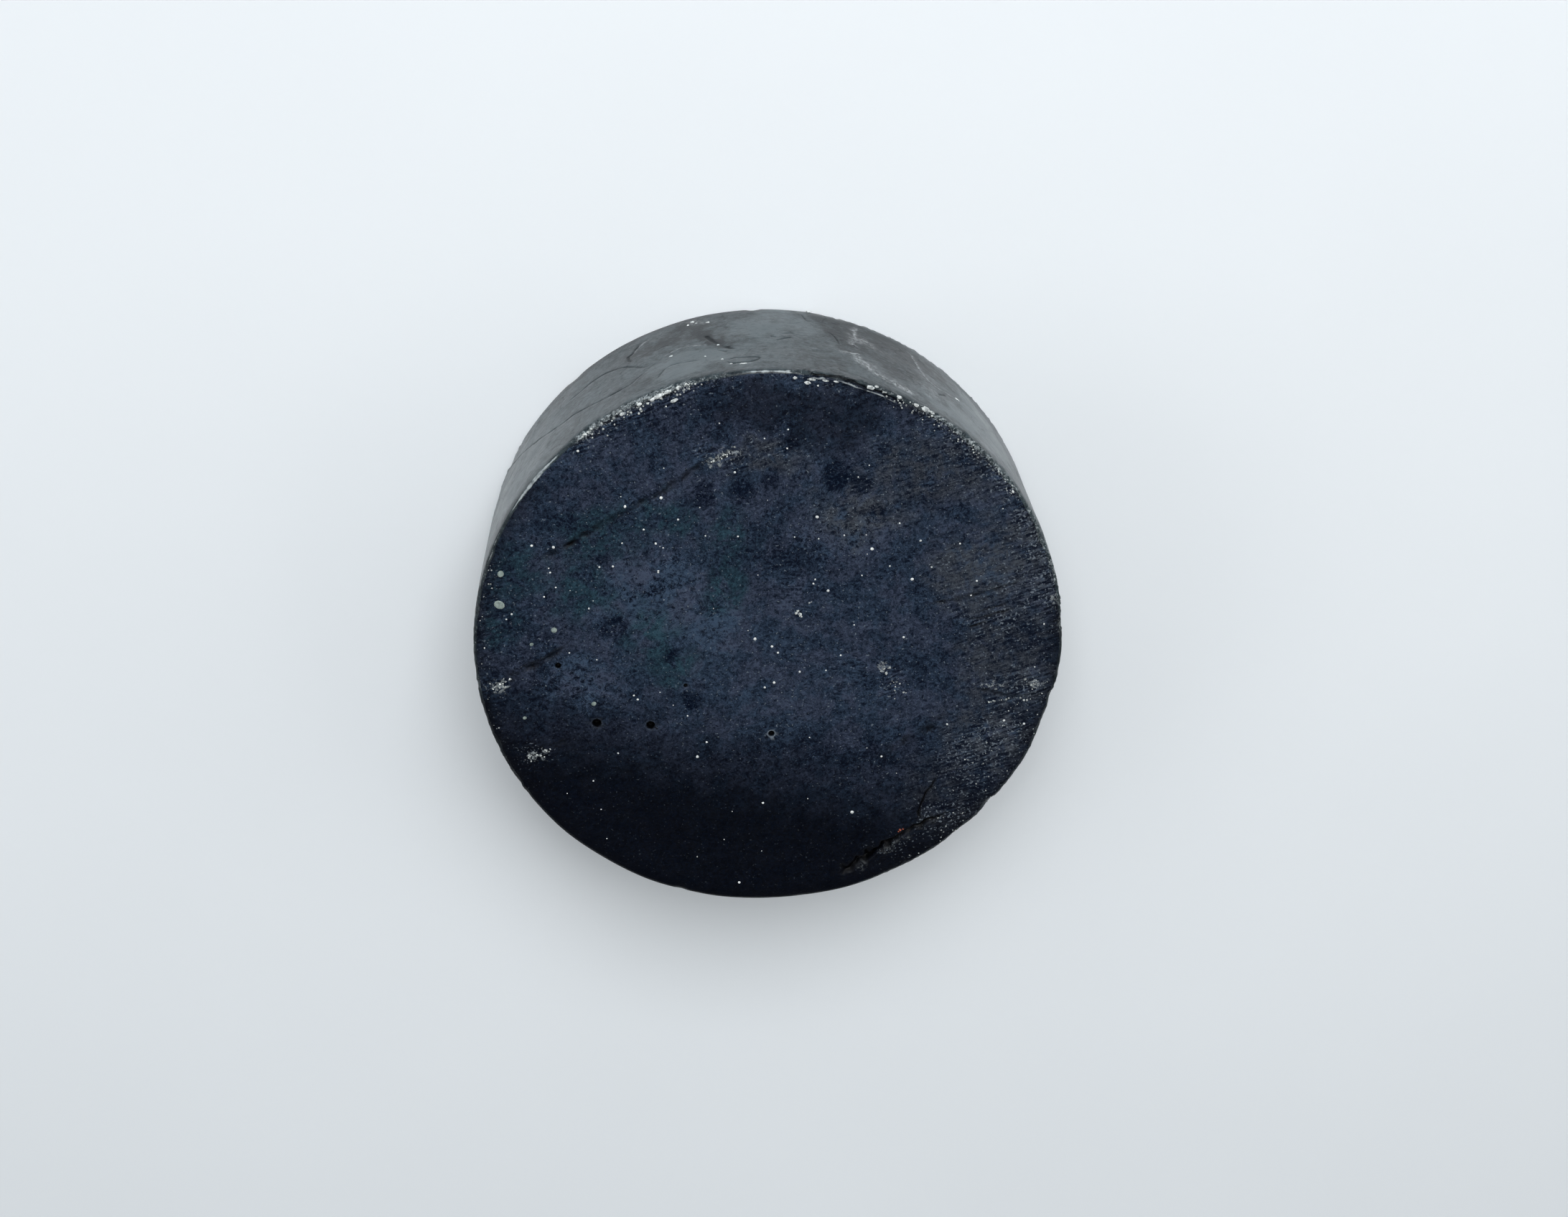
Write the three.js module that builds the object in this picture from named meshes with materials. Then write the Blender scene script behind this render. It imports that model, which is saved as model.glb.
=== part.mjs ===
// A round puck of hard shaving soap: one slab, cut with a knife from a log that was cast in a tube mould.
// Millimetres, +Z up. The puck lies on its lower cut face, with the origin at that face's centre.

import * as THREE from "three";

// Driving dimensions.
const DIAMETER = 76; // bore of the tube mould, 3 inches
const THICKNESS = 25; // one slab of the log, 1 inch
const RIM_RADIUS = 0.8; // handling has worn both cut rims this round

// How finely the round stretches are divided.
const STEPS_AROUND = 128;
const STEPS_PER_RIM = 6;

const SOAP = { name: "charcoal_soap", color: 0x23262d, roughness: 0.5, metalness: 0 };

const radius = DIAMETER / 2;

// A quarter circle of the profile about (x, y), from one angle to another, in degrees.
function rimArc(x, y, fromDegrees, toDegrees) {
  return Array.from({ length: STEPS_PER_RIM + 1 }, (_, step) => {
    const angle = THREE.MathUtils.degToRad(
      THREE.MathUtils.lerp(fromDegrees, toDegrees, step / STEPS_PER_RIM),
    );
    return new THREE.Vector2(
      x + RIM_RADIUS * Math.cos(angle),
      y + RIM_RADIUS * Math.sin(angle),
    );
  });
}

// Half of the section through the axis: lower face, lower rim, moulded wall, upper rim, upper face.
function puckProfile() {
  const inset = radius - RIM_RADIUS;
  return [
    new THREE.Vector2(0, 0),
    ...rimArc(inset, RIM_RADIUS, -90, 0),
    ...rimArc(inset, THICKNESS - RIM_RADIUS, 0, 90),
    new THREE.Vector2(0, THICKNESS),
  ];
}

function soapPuck() {
  const geometry = new THREE.LatheGeometry(puckProfile(), STEPS_AROUND);
  geometry.rotateX(Math.PI / 2); // the lathe turns about Y, and the puck's axis is Z
  const puck = new THREE.Mesh(geometry, new THREE.MeshStandardMaterial(SOAP));
  puck.name = "soap_puck";
  return puck;
}

const part = new THREE.Group();
part.add(soapPuck());

export default part;
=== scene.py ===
"""A puck of charcoal shaving soap on a pale floor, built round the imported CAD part.

Shapes are worked out in millimetres, in the part's own frame, and become metres when a mesh is made.
The puck lies on its lower cut face. Its upper cut face, towards +Z, is the one in the photograph, and the
wall that shows above that face there is on the +Y side.
"""

import math
from functools import reduce

import bmesh
import bpy
import numpy as np
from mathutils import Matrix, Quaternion, Vector


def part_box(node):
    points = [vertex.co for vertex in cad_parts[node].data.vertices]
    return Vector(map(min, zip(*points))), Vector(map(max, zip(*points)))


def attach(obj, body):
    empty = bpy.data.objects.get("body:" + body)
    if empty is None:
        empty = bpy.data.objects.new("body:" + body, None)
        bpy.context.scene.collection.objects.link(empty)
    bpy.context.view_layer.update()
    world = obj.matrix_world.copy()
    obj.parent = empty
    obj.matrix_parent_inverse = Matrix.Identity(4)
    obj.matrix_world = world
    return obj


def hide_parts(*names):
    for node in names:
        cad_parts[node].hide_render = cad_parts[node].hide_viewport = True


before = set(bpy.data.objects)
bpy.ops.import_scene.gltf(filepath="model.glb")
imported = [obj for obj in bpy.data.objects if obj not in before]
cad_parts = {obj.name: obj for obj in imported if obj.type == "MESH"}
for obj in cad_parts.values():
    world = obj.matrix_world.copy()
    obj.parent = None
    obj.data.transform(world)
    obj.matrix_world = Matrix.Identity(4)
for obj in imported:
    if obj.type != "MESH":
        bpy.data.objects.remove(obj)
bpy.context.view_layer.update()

# ---------------------------------------------------------------- driving sizes, millimetres

MM = 0.001
low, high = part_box("soap_puck")
RADIUS = (high.x - low.x) / 2 / MM
THICKNESS = (high.z - low.z) / MM
RIM = 0.5  # radius of the worn edge between a cut face and the wall

FACE_CELLS = 124  # mesh cells across each cut face; four times as many go round the wall
RIM_ROWS = 4
WALL_ROWS = 34
REFINEMENTS = 3  # times that the cells round a mark are split in four, the last only at bubbles
KNIFE_ANGLE = math.radians(27)  # the way the knife was drawn across the upper face

# ---------------------------------------------------------------- marks on the upper face

# Lines that the knife dragged: points, half width, depth.
UPPER_DRAGS = [
    ([(-31, 11.3), (-24.5, 15.6), (-14.5, 21.6), (-9.6, 25.2), (-1.8, 29.3)], 0.4, 0.22),
    ([(-34.4, -4.2), (-29.5, -1.7), (-25.5, 0.8)], 0.5, 0.36),
    ([(-30.5, -14.8), (-23.3, -12.1)], 0.4, 0.1),
    ([(-19.8, -18.4), (-14.5, -15.7)], 0.5, 0.08),
    ([(19, 6.2), (25.5, 7.6), (33.5, 10.3)], 0.25, 0.14),
    ([(17.5, 13.5), (23.4, 17.4)], 0.4, 0.08),
    ([(26.5, -5.6), (32, -6.9), (36.6, -6.5)], 0.3, 0.18),
    ([(14, -16.3), (24.5, -9.3)], 0.7, 0.16),
]
# Cracks, deeper and thinner: points, half width, depth.
UPPER_TEARS = [
    ([(11.5, -32.8), (15.4, -30), (18.6, -27.6), (21.7, -25.8), (25.2, -24.2)], 0.3, 0.6),
    ([(9.8, -34.2), (13.2, -31.6), (17.6, -28.4)], 0.5, 0.6),
    ([(20.8, -26), (20.4, -24.2), (21.2, -21.6), (23.2, -18.2)], 0.16, 0.25),
    ([(24.6, 4.2), (28, 4.9), (31.6, 6.2)], 0.14, 0.1),
    ([(25.2, 3.2), (28.4, 4.2)], 0.12, 0.1),
    ([(26.4, 5.4), (31, 6.9)], 0.12, 0.09),
]
# Open air bubbles: x, y, radius, how pale the ring round it is.
UPPER_PINHOLES = [
    (-22.3, -10.6, 0.62, 0.1), (-15.3, -10.9, 0.6, 0.1), (-27.2, -2.2, 0.42, 0), (0.4, -12.2, 0.42, 1),
    (-10.8, -5.1, 0.3, 0.1),
]
# Round damp stains: x, y, radius.
UPPER_STAINS = [
    (-19.8, 3.2, 1.9), (-16, 8.2, 1.4), (-13.7, 9.1, 1), (-12.4, 12.7, 1.1), (-21.4, 12.9, 0.9),
    (-8.8, 21.6, 1.8), (-4.1, 22.2, 1.8), (-0.2, 23.7, 1.3), (2.1, 28.5, 1.2), (8, 24.4, 2.1),
    (10.8, 23, 1.6), (12.6, 19.2, 1.5), (-9.9, -7.4, 1.6), (-12.5, -0.5, 1.2), (-7.4, 6.3, 1.5),
]
# Tinted patches: x, y, half width, half height.
UPPER_TEAL = [
    (-21.9, 16.5, 5.5, 4), (-13.5, 18.9, 4, 2.5), (-32, 11, 3.5, 4), (-24, 8, 4, 4), (-15, 1.2, 3, 5),
    (-12.5, -2.6, 3.5, 3), (-5.5, 16, 3, 3.5), (-5.8, 9.5, 2.6, 4.5), (-35, 3.5, 3, 3),
]
UPPER_GREY = [
    (-0.8, 26.9, 5, 2.2), (11, 19, 6, 4), (20, 25, 9, 4.5), (26, 11, 6.5, 6), (32, 14, 6, 8),
    (31, -1, 7, 9), (30, -13, 7, 8), (24, -22, 6, 7),
]
UPPER_NAVY = [(0, 33.5, 9, 3), (7.5, 31, 6, 4)]
# Hazier and cleaner areas: x, y, half width, half height, how much hazier.
UPPER_TONES = [
    (-8, 31, 13, 4, -0.12), (5, 15.5, 8, 4.5, -0.16), (-25, 17, 6, 6, -0.06), (-32, -1, 6, 9, -0.12),
    (-8, 2, 12, 6, 0.1), (-17, 10, 6, 4, 0.04), (2.5, 12.5, 4, 3, -0.08), (20.5, 21, 4, 3, -0.1),
    (27, -20, 6, 5, -0.18), (-26, -7, 8, 4, -0.1), (0, -7, 12, 5, 0.06), (13, 17, 4, 4, 0.06),
    (27, 12, 6, 5, 0.22), (30, 20, 3, 3, 0.1), (31, 2, 6, 5, -0.12), (20, -1, 6, 4, -0.08),
    (-22, -12, 9, 3, -0.12), (4, -16, 18, 3.5, -0.16), (18, -17, 8, 4, -0.1),
]
# Ripples from a shaking blade: x, y, half width, half height.
UPPER_RIPPLES = [(2.6, 8.4, 4, 2.6), (-6, 4.8, 2.4, 2.4), (10.4, -4, 2.4, 4)]
# Chalky scuffs: x, y, half width, half height.
UPPER_CHALK = [
    (-34.9, -5.2, 1.2, 0.9), (-30.4, -15.4, 1.3, 0.6), (-7.4, 26.1, 1.2, 0.5), (-5.4, 27.2, 1.2, 0.5),
    (14.7, -2.3, 0.6, 0.7), (29, -5.2, 1.6, 0.3), (35, -5, 1, 0.6), (36.4, 7.4, 0.4, 1),
]
# Places where the knife tore the soap into coarse grains: x, y, half width, half height.
UPPER_COARSE = [
    (15.8, -4.4, 2, 2.4), (34, -5, 4, 2.2), (31, -12, 4, 4), (26.5, -16, 4, 4.5), (25, -25, 5, 3.5),
    (18, -30, 4, 2), (35, 8, 2, 4), (31, 9.5, 3.4, 2), (33, 17, 2, 4), (28, 4.5, 5, 1.6),
    (-7, 26.8, 3, 1.4), (-31, -15, 3, 1.5),
]
# Soap full of fine closed bubbles: x, y, half width, half height.
UPPER_FOAM = [(-15, 8, 7, 6), (-8, 4, 4, 4), (-24, -5, 5, 4), (9, 17, 6, 4)]
# Loose white crumbs lie along short stretches: from, to, spread, count, size.
UPPER_CRUMBS = [
    ((-35.6, -5.6), (-34, -4.4), 0.4, 16, 0.3),
    ((-31.6, -16), (-28.8, -14.6), 0.35, 16, 0.28),
    ((-8, 25.9), (-4.6, 27.7), 0.2, 22, 0.22),
    ((14.5, -2.2), (15.4, -3.2), 0.4, 10, 0.28),
    ((3.2, 5.8), (3.8, 4.7), 0.14, 12, 0.3),
    ((4.9, 6.5), (5.3, 7.6), 0.1, 3, 0.2),
    ((16, -4.6), (17.4, -6.2), 0.5, 12, 0.2),
    ((28.8, -7.6), (34.4, -7.3), 0.2, 16, 0.28),
    ((33.2, -4.4), (36.2, -5.4), 0.5, 12, 0.26),
    ((27.5, -20), (33, -10), 2.4, 26, 0.16),
    ((23, -28), (29, -22), 1.2, 16, 0.18),
]
# White pinpricks that stand out: x, y, diameter.
BRIGHT_SPECKS = [
    (-18.5, 20, 0.5), (-14, 21.2, 0.5), (-16.2, 16.9, 0.4), (-4.9, 24.7, 0.35), (5.5, 18.7, 0.5),
    (18.7, 15.5, 0.4), (12.6, 14.3, 0.55), (17.9, 10.1, 0.5), (-2, 1.7, 0.5), (0.2, 0.6, 0.5),
    (1, -0.3, 0.4), (17.2, 1.9, 0.4), (0.6, -4.7, 0.45), (-0.6, -5.4, 0.45), (-17.6, -6.6, 0.4),
    (-17.1, -7.2, 0.4), (-8.1, -13.5, 0.4), (-9.3, -15.7, 0.5), (15.1, -15.8, 0.4), (11.5, -24.3, 0.6),
    (-0.5, -22.9, 0.4), (-3.5, -35.4, 0.5), (7.2, 8.5, 0.5), (5.5, 10.1, 0.3), (5.3, 9.5, 0.3),
    (-4.4, 16.1, 0.3), (-11.9, 18.3, 0.35), (-14.7, 15, 0.4), (-14.4, 11, 0.3), (3.9, -3.1, 0.35),
    (7.3, -2.9, 0.3), (-27.5, 14.5, 0.5), (-30.2, 14.7, 0.45), (-28, 11, 0.35), (-20.1, 11.8, 0.35),
    (-21.8, 11.7, 0.35), (-24.2, 27.4, 0.45), (-33, 5.2, 0.35), (9, 16.2, 0.3), (26.2, 9.9, 0.35),
    (25.6, 7.8, 0.4), (23.6, -11, 0.35), (33.8, -10.9, 0.45), (31.1, -10.4, 0.45), (20.3, 11.8, 0.3),
]
SCATTERED_SPECKS = 60  # the finer ones, put anywhere
# Pale discs of unmixed soap: x, y, diameter.
PALE_DISCS = [
    (-34.5, 6.5, 1.25), (-27.7, 2.9, 0.75), (-30.6, 0.9, 0.5), (-34.2, 10.8, 0.8), (-22.8, -7.8, 0.6),
    (-31.8, -9.8, 0.5),
]

# ---------------------------------------------------------------- marks on the wall and rims

# Lines left on the wall by soap setting in the mould: (degrees round from +X, z) points, half width, depth.
WALL_LINES = [
    ([(137, 8.4), (131, 8.2), (126, 7.9), (123, 8.5), (119, 10.4), (116.5, 12.7), (113.5, 14.6)], 0.2, 0.07),
    (
        [(157, 1), (151, 5.2), (138, 13.3), (130, 15.9), (124, 17.6), (118, 17.7), (114, 14.8), (111, 13.2)],
        0.2,
        0.08,
    ),
    ([(112.6, 20.2), (111, 17.6), (109, 17), (106, 17.5), (103.3, 18)], 0.15, 0.04),
    ([(114.3, 3.1), (116.5, 4.2), (118, 6.3), (118.8, 7), (117.7, 9.7)], 0.25, 0.07),
    ([(103, 9), (101, 12.4), (99, 14.8), (96.6, 16.2)], 0.3, 0.07),
    ([(100.9, 12.6), (100.3, 15.4), (98.8, 17)], 0.2, 0.05),
    (
        [(99.2, 20), (97.3, 19.4), (95.2, 19.6), (92.8, 20), (94.2, 21.2), (97.9, 21.3), (99.2, 20)],
        0.15,
        0.08,
    ),
    ([(90.4, 12.1), (89.1, 12.3)], 0.16, 0.09),
    ([(88.1, 11.1), (86.4, 10.6), (85.4, 11)], 0.14, 0.08),
    ([(89.4, 13.6), (87.1, 12.5), (86, 12.1)], 0.14, 0.08),
    ([(83.8, 2), (81.9, 6.3), (78.4, 8.6), (77.2, 11), (76.5, 14.7)], 0.14, 0.03),
    ([(56.5, 15.6), (54, 13.6)], 0.2, 0.05),
]
# Pale scuffs and dark bruises on the wall: points, half width, how pale.
WALL_SCUFFS = [
    ([(76.8, 15.1), (74.5, 14.5), (72.7, 14.4)], 0.25, 0.9),
    ([(74.4, 15.6), (73, 17), (71.5, 18.6), (69.4, 20.3), (66.3, 20.9), (63.3, 21.4), (61.9, 22.2)], 0.6, 1),
    ([(73.1, 3.5), (73.2, 7.2), (74.3, 10.7), (73.6, 12)], 0.4, 0.9),
    ([(73.2, 8.5), (71.2, 7.7), (70.2, 8.4), (70.4, 10)], 0.9, 0.7),
    ([(60, 16), (56, 18)], 1.6, 0.35),
    ([(60.7, 3.8), (60, 5.4), (59.3, 8.7), (57.9, 11.8), (56, 12.6), (53.8, 12.4), (50.1, 11.2)], 0.2, 0.85),
    ([(106.4, 2), (102, 4)], 0.6, 0.6),
    # This pale scuff, along the same dash in the dimple, is painted highlight too.
    ([(98.2, 21.6), (94, 22)], 0.15, 0.7),
    ([(110.9, 12.6), (108.8, 11.7), (106, 11.7), (102.3, 13.1)], 0.14, 0.5),
    ([(114.6, 3.9), (116.6, 5), (117.6, 6.6)], 0.2, 0.5),
    ([(106.4, 1), (104.4, 5.4), (103.1, 9), (100.9, 12.4), (99, 14.8), (96.6, 16.2)], 0.9, -0.8),
    ([(118.8, 6.2), (112, 8.6), (107, 8.2)], 1.6, -0.35),
    ([(91, 12.4), (85.5, 11.6)], 0.9, -0.4),
    ([(68, 1.5), (62, 3.6), (55.3, 6.2), (49.7, 6.6)], 2, -0.5),
]
# Lighter and darker soap in the wall: degrees, z, half degrees, half z, how much lighter.
WALL_TONES = [
    (106, 17.5, 7.5, 4.6, 0.45), (108, 20, 4.5, 2.6, 0.25), (90, 7, 7.5, 7.5, 0.4),
    (93, 19, 10, 4, 0.25), (108, 5, 5, 3.5, -0.3), (75, 6, 6, 8, -0.5), (65, 10, 6, 8, -0.4),
    (82, 20, 5, 3, -0.1), (42, 12, 8, 9, 0.5), (52, 19, 6, 3.5, 0.45), (148, 14, 14, 10, 0.3),
    (126, 14, 9, 5, 0.12),
]
# Stretches of the upper rim that crumble, and of thin pale wear: from, to, in degrees, how much.
CRUMBLY_RIM = [
    (105, 132, 1), (97, 106, 0.5), (34, 64, 0.8), (64, 87, 0.4), (-66, -2, 0.3), (2, 34, 0.6),
    (160, 215, 0.4),
]
WORN_RIM = [(134, 152, 1), (152, 168, 0.6), (86, 97, 0.9)]
# Stretches where the rim is darker and less glossy: darkened by rubbing in some, and painted shade along the
# lower-left edge, 190 to 290 degrees.
RUBBED_AND_SHADED_RIM = [(-70, 12, 0.6), (60, 82, 0.5), (140, 186, 0.5), (190, 290, 1.3)]
# Dents and flats in the upper rim: degrees, half degrees, depth.
RIM_DENTS = [(-10.6, 1.4, 0.35), (-16, 5, 0.2), (6, 1, 0.2), (-38.5, 2, 0.15), (-46, 4, 0.15), (22, 6, 0.12)]
# Where the puck is a little out of round: degrees, half degrees, how far.
SWELLING = (235, 50, 0.42)
# Crevices between the upper rim and a feather edge that the knife left: (degrees, radius) points.
RIM_CREVICES = [[(87, 37.9), (78.5, 37.8), (76.4, 37.7), (72.4, 37.5), (68.5, 37.5), (64.5, 37.3)]]
# White flakes on the upper rim: degrees, radius, length, width.
RIM_FLAKES = [
    (113.8, 37.3, 0.7, 0.4), (112.5, 37.4, 1.2, 0.6), (110.8, 37.5, 0.9, 0.45),
    (108.4, 37.6, 0.7, 0.35), (110, 36.2, 0.9, 0.5), (116.4, 37.4, 0.7, 0.4), (120.2, 37.3, 0.6, 0.35),
    (86.5, 37.1, 0.5, 0.35), (84, 36.6, 0.9, 0.45), (83.3, 37.1, 1.1, 0.35), (80.8, 37.2, 1, 0.3),
    (78.7, 37.3, 0.7, 0.3), (82, 36.4, 0.4, 0.25), (72.2, 37.6, 1, 0.5), (71.1, 37.9, 0.5, 0.25),
    (66.4, 37.7, 0.6, 0.4), (62.8, 37.7, 0.7, 0.5), (60.7, 37.8, 1.2, 0.6), (59.4, 37.8, 0.7, 0.4),
    (36.5, 37.3, 0.5, 0.3),
]
# White crumbs along the upper rim: from, to, in degrees, count, size.
RIM_CRUMBS = [
    (104, 129, 90, 0.24), (56, 70, 40, 0.2), (36, 57, 32, 0.15), (-60, -8, 18, 0.14),
    (160, 200, 24, 0.18),
]
# White flakes on the wall: degrees, z, length, width.
WALL_FLAKES = [
    # The first two flakes, at 96 and 98.2 degrees near the top, are painted highlight: a bright dash in a
    # dimple of the wall.
    (96, 21.9, 0.9, 0.3), (98.2, 21.5, 0.4, 0.2), (100.4, 13.5, 0.35, 0.3), (99.8, 19.3, 0.3, 0.25),
    (109.7, 13.4, 0.5, 0.3), (103, 17, 0.3, 0.25), (50.3, 10.9, 0.8, 0.45), (105.2, 2.5, 0.6, 0.5),
    (106.1, 3.3, 0.4, 0.4), (102.1, 4, 0.5, 0.4), (104.4, 3.4, 0.3, 0.3), (82, 0.7, 0.8, 0.5),
]


# ---------------------------------------------------------------- numbers over points


def smooth(value, start, end):
    """0 before start, 1 after end, with a soft step between them."""
    share = np.clip((value - start) / (end - start), 0, 1)
    return share * share * (3 - 2 * share)


def bell(value, width):
    """1 where the value is 0, and nearly 0 at twice the width."""
    return np.exp(-((value / width) ** 2))


def waves(points, size, seed, count=36):
    """Seeded smooth noise of about -2 to 2, with features of that size, at points in 2 or 3 dimensions."""
    rng = np.random.default_rng(seed)
    direction = rng.normal(size=(count, points.shape[1]))
    direction /= np.linalg.norm(direction, axis=1, keepdims=True)
    length = size * rng.uniform(0.7, 1.6, (count, 1))
    phase = rng.uniform(0, 2 * math.pi, count)
    return math.sqrt(2 / count) * np.cos(points @ (2 * math.pi * direction / length).T + phase).sum(1)


def drift(points, size, seed, far):
    """How smooth noise moves each point in a plane, by about that far."""
    return np.stack([waves(points, size, seed), waves(points, size, seed + 1)], 1) * far


def from_line(points, line):
    """For each point: its distance from a line of two or more points, signed by side, and the share of the
    line before its nearest place."""
    line = np.array(line, float)
    steps = np.diff(line, axis=0)
    before = np.concatenate([[0], np.cumsum(np.linalg.norm(steps, axis=1))])
    best = np.full(len(points), np.inf)
    side = np.ones(len(points))
    share = np.zeros(len(points))
    for start, step, passed in zip(line, steps, before):
        offset = points - start
        along = np.clip(offset @ step / (step @ step), 0, 1)
        distance = np.linalg.norm(offset - along[:, None] * step, axis=1)
        closer = distance < best
        best[closer] = distance[closer]
        cross = step[0] * offset[:, 1] - step[1] * offset[:, 0]
        side[closer] = np.where(cross[closer] < 0, -1, 1)
        share[closer] = (passed + along[closer] * np.linalg.norm(step)) / before[-1]
    return best * side, share


def patches(points, places, soft=(0.55, 1.35)):
    """0 to 1 over soft patches, each given as x, y, half width, half height."""
    cover = np.zeros(len(points))
    for x, y, across, up in places:
        reach = np.hypot((points[:, 0] - x) / across, (points[:, 1] - y) / up)
        cover = np.maximum(cover, 1 - smooth(reach, *soft))
    return cover


def within(degrees, stretches):
    """How much each direction round the puck is inside stretches of (from, to, how much), with soft ends."""
    amount = np.zeros(len(degrees))
    for start, end, much in stretches:
        middle = (start + end) / 2
        off = np.abs((degrees - middle + 180) % 360 - 180)
        amount = np.maximum(amount, much * (1 - smooth(off, (end - start) / 2 - 3, (end - start) / 2 + 2)))
    return amount


def curved(line):
    """A smooth curve through the points of a line (Catmull-Rom)."""
    line = np.array(line, float)
    ends = np.concatenate([[2 * line[0] - line[1]], line, [2 * line[-1] - line[-2]]])
    curve = []
    for a, b, c, d in zip(ends, ends[1:], ends[2:], ends[3:]):
        for share in np.arange(0, 1, 0.2):
            bend = 2 * a - 5 * b + 4 * c - d
            curve.append(b + 0.5 * share * ((c - a) + share * (bend + share * (3 * (b - c) + d - a))))
    return curve + [line[-1]]


def heading(turn):
    """The unit vector of x and y at an angle in radians from +X."""
    return np.array([math.cos(turn), math.sin(turn)])


def towards(degrees):
    """The level unit vector of x, y and z at that many degrees round the puck from +X."""
    return np.array([*heading(math.radians(degrees)), 0])


def unrolled(line):
    """A line of (degrees, z) on the wall as a curve of (millimetres round, z)."""
    return curved([(math.radians(degrees) * RADIUS, level) for degrees, level in line])


def in_plan(line):
    """A line of (degrees, radius) as one of x and y."""
    return [reach * heading(math.radians(degrees)) for degrees, reach in line]


# ---------------------------------------------------------------- marks that the photograph doesn't show


def random_face(seed):
    """Marks for the lower face: the same kinds as on the upper one, in other places."""
    rng = np.random.default_rng(seed)

    def place(reach=30):
        turn = rng.uniform(0, 2 * math.pi)
        return heading(turn) * reach * math.sqrt(rng.uniform(0.02, 1))

    def stroke():
        start = place()
        turn = -KNIFE_ANGLE + rng.normal() * 0.1
        return [start, start + rng.uniform(4, 14) * heading(turn)]

    def spots(count, wide, tall, *rest, reach=30):
        ranges = (wide, tall, *rest)
        return [(*place(reach), *(rng.uniform(*ends) for ends in ranges)) for _ in range(count)]

    return {
        "knife": -KNIFE_ANGLE,
        "drags": [(stroke(), rng.uniform(0.3, 0.6), rng.uniform(0.08, 0.2)) for _ in range(6)],
        "tears": [],
        "pinholes": spots(5, (0.3, 0.6), (0, 0.8)),
        "stains": [(*place(), rng.uniform(0.9, 2.6)) for _ in range(14)],
        "teal": spots(6, (2.5, 5), (2.5, 5)),
        "grey": spots(6, (4, 8), (4, 8), reach=34),
        "navy": spots(3, (3, 8), (3, 6), reach=34),
        "tones": spots(9, (4, 12), (3, 8), (-0.16, 0.12)),
        "ripples": [(*place(), 4, 2.5) for _ in range(2)],
        "chalk": spots(5, (0.5, 1.2), (0.4, 0.8), reach=36),
        "coarse": spots(9, (2, 5), (2, 4), reach=36),
        "foam": spots(4, (3, 7), (3, 6)),
        "crevices": [],
        "crumbly": [(20, 80, 0.8), (150, 230, 0.7), (270, 300, 0.6)],
        "worn": [(300, 350, 0.8), (90, 130, 0.7)],
        "rubbed_and_shaded": [(90, 140, 0.9)],
        "dents": [(rng.uniform(0, 360), rng.uniform(1, 5), rng.uniform(0.1, 0.3)) for _ in range(6)],
        # the way in which this face is painted darker, like the painted shade on the upper face
        "shade": (0.4, 0.9),
        "seed": seed,
    }


UPPER_FACE = {
    "knife": KNIFE_ANGLE,
    "drags": UPPER_DRAGS,
    "tears": UPPER_TEARS,
    "pinholes": UPPER_PINHOLES,
    "stains": UPPER_STAINS,
    "teal": UPPER_TEAL,
    "grey": UPPER_GREY,
    "navy": UPPER_NAVY,
    "tones": UPPER_TONES,
    "ripples": UPPER_RIPPLES,
    "chalk": UPPER_CHALK,
    "coarse": UPPER_COARSE,
    "foam": UPPER_FOAM,
    "crevices": RIM_CREVICES,
    "crumbly": CRUMBLY_RIM,
    "worn": WORN_RIM,
    "rubbed_and_shaded": RUBBED_AND_SHADED_RIM,
    "dents": RIM_DENTS,
    "shade": (-0.25, -1),  # the way in which the face is painted darker: painted shade towards -Y
    "seed": 11,
}
LOWER_FACE = random_face(47)


def random_wall(seed, count, start, end):
    """Setting lines, scuffs and tones for the stretch of wall between two directions in degrees."""
    rng = np.random.default_rng(seed)
    lines = []
    for _ in range(count):
        degrees = rng.uniform(start, end)
        level = rng.uniform(3, THICKNESS - 3)
        points = []
        for _ in range(5):
            points.append((degrees, np.clip(level, 2, THICKNESS - 2)))
            degrees += rng.uniform(3, 8)
            level += rng.normal() * 2.6
        lines.append((points, rng.uniform(0.15, 0.28), rng.uniform(0.04, 0.08)))
    scuffs = [(line[:3], width * 2, rng.uniform(-0.6, 0.9)) for line, width, _ in lines[::2]]
    ranges = ((start, end), (3, 22), (5, 12), (3, 8), (-0.2, 0.28))
    tones = [tuple(rng.uniform(*ends) for ends in ranges) for _ in range(count)]
    return lines, scuffs, tones


HIDDEN_LINES, HIDDEN_SCUFFS, HIDDEN_TONES = random_wall(5, 20, 165, 385)


# ---------------------------------------------------------------- relief and masks


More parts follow.
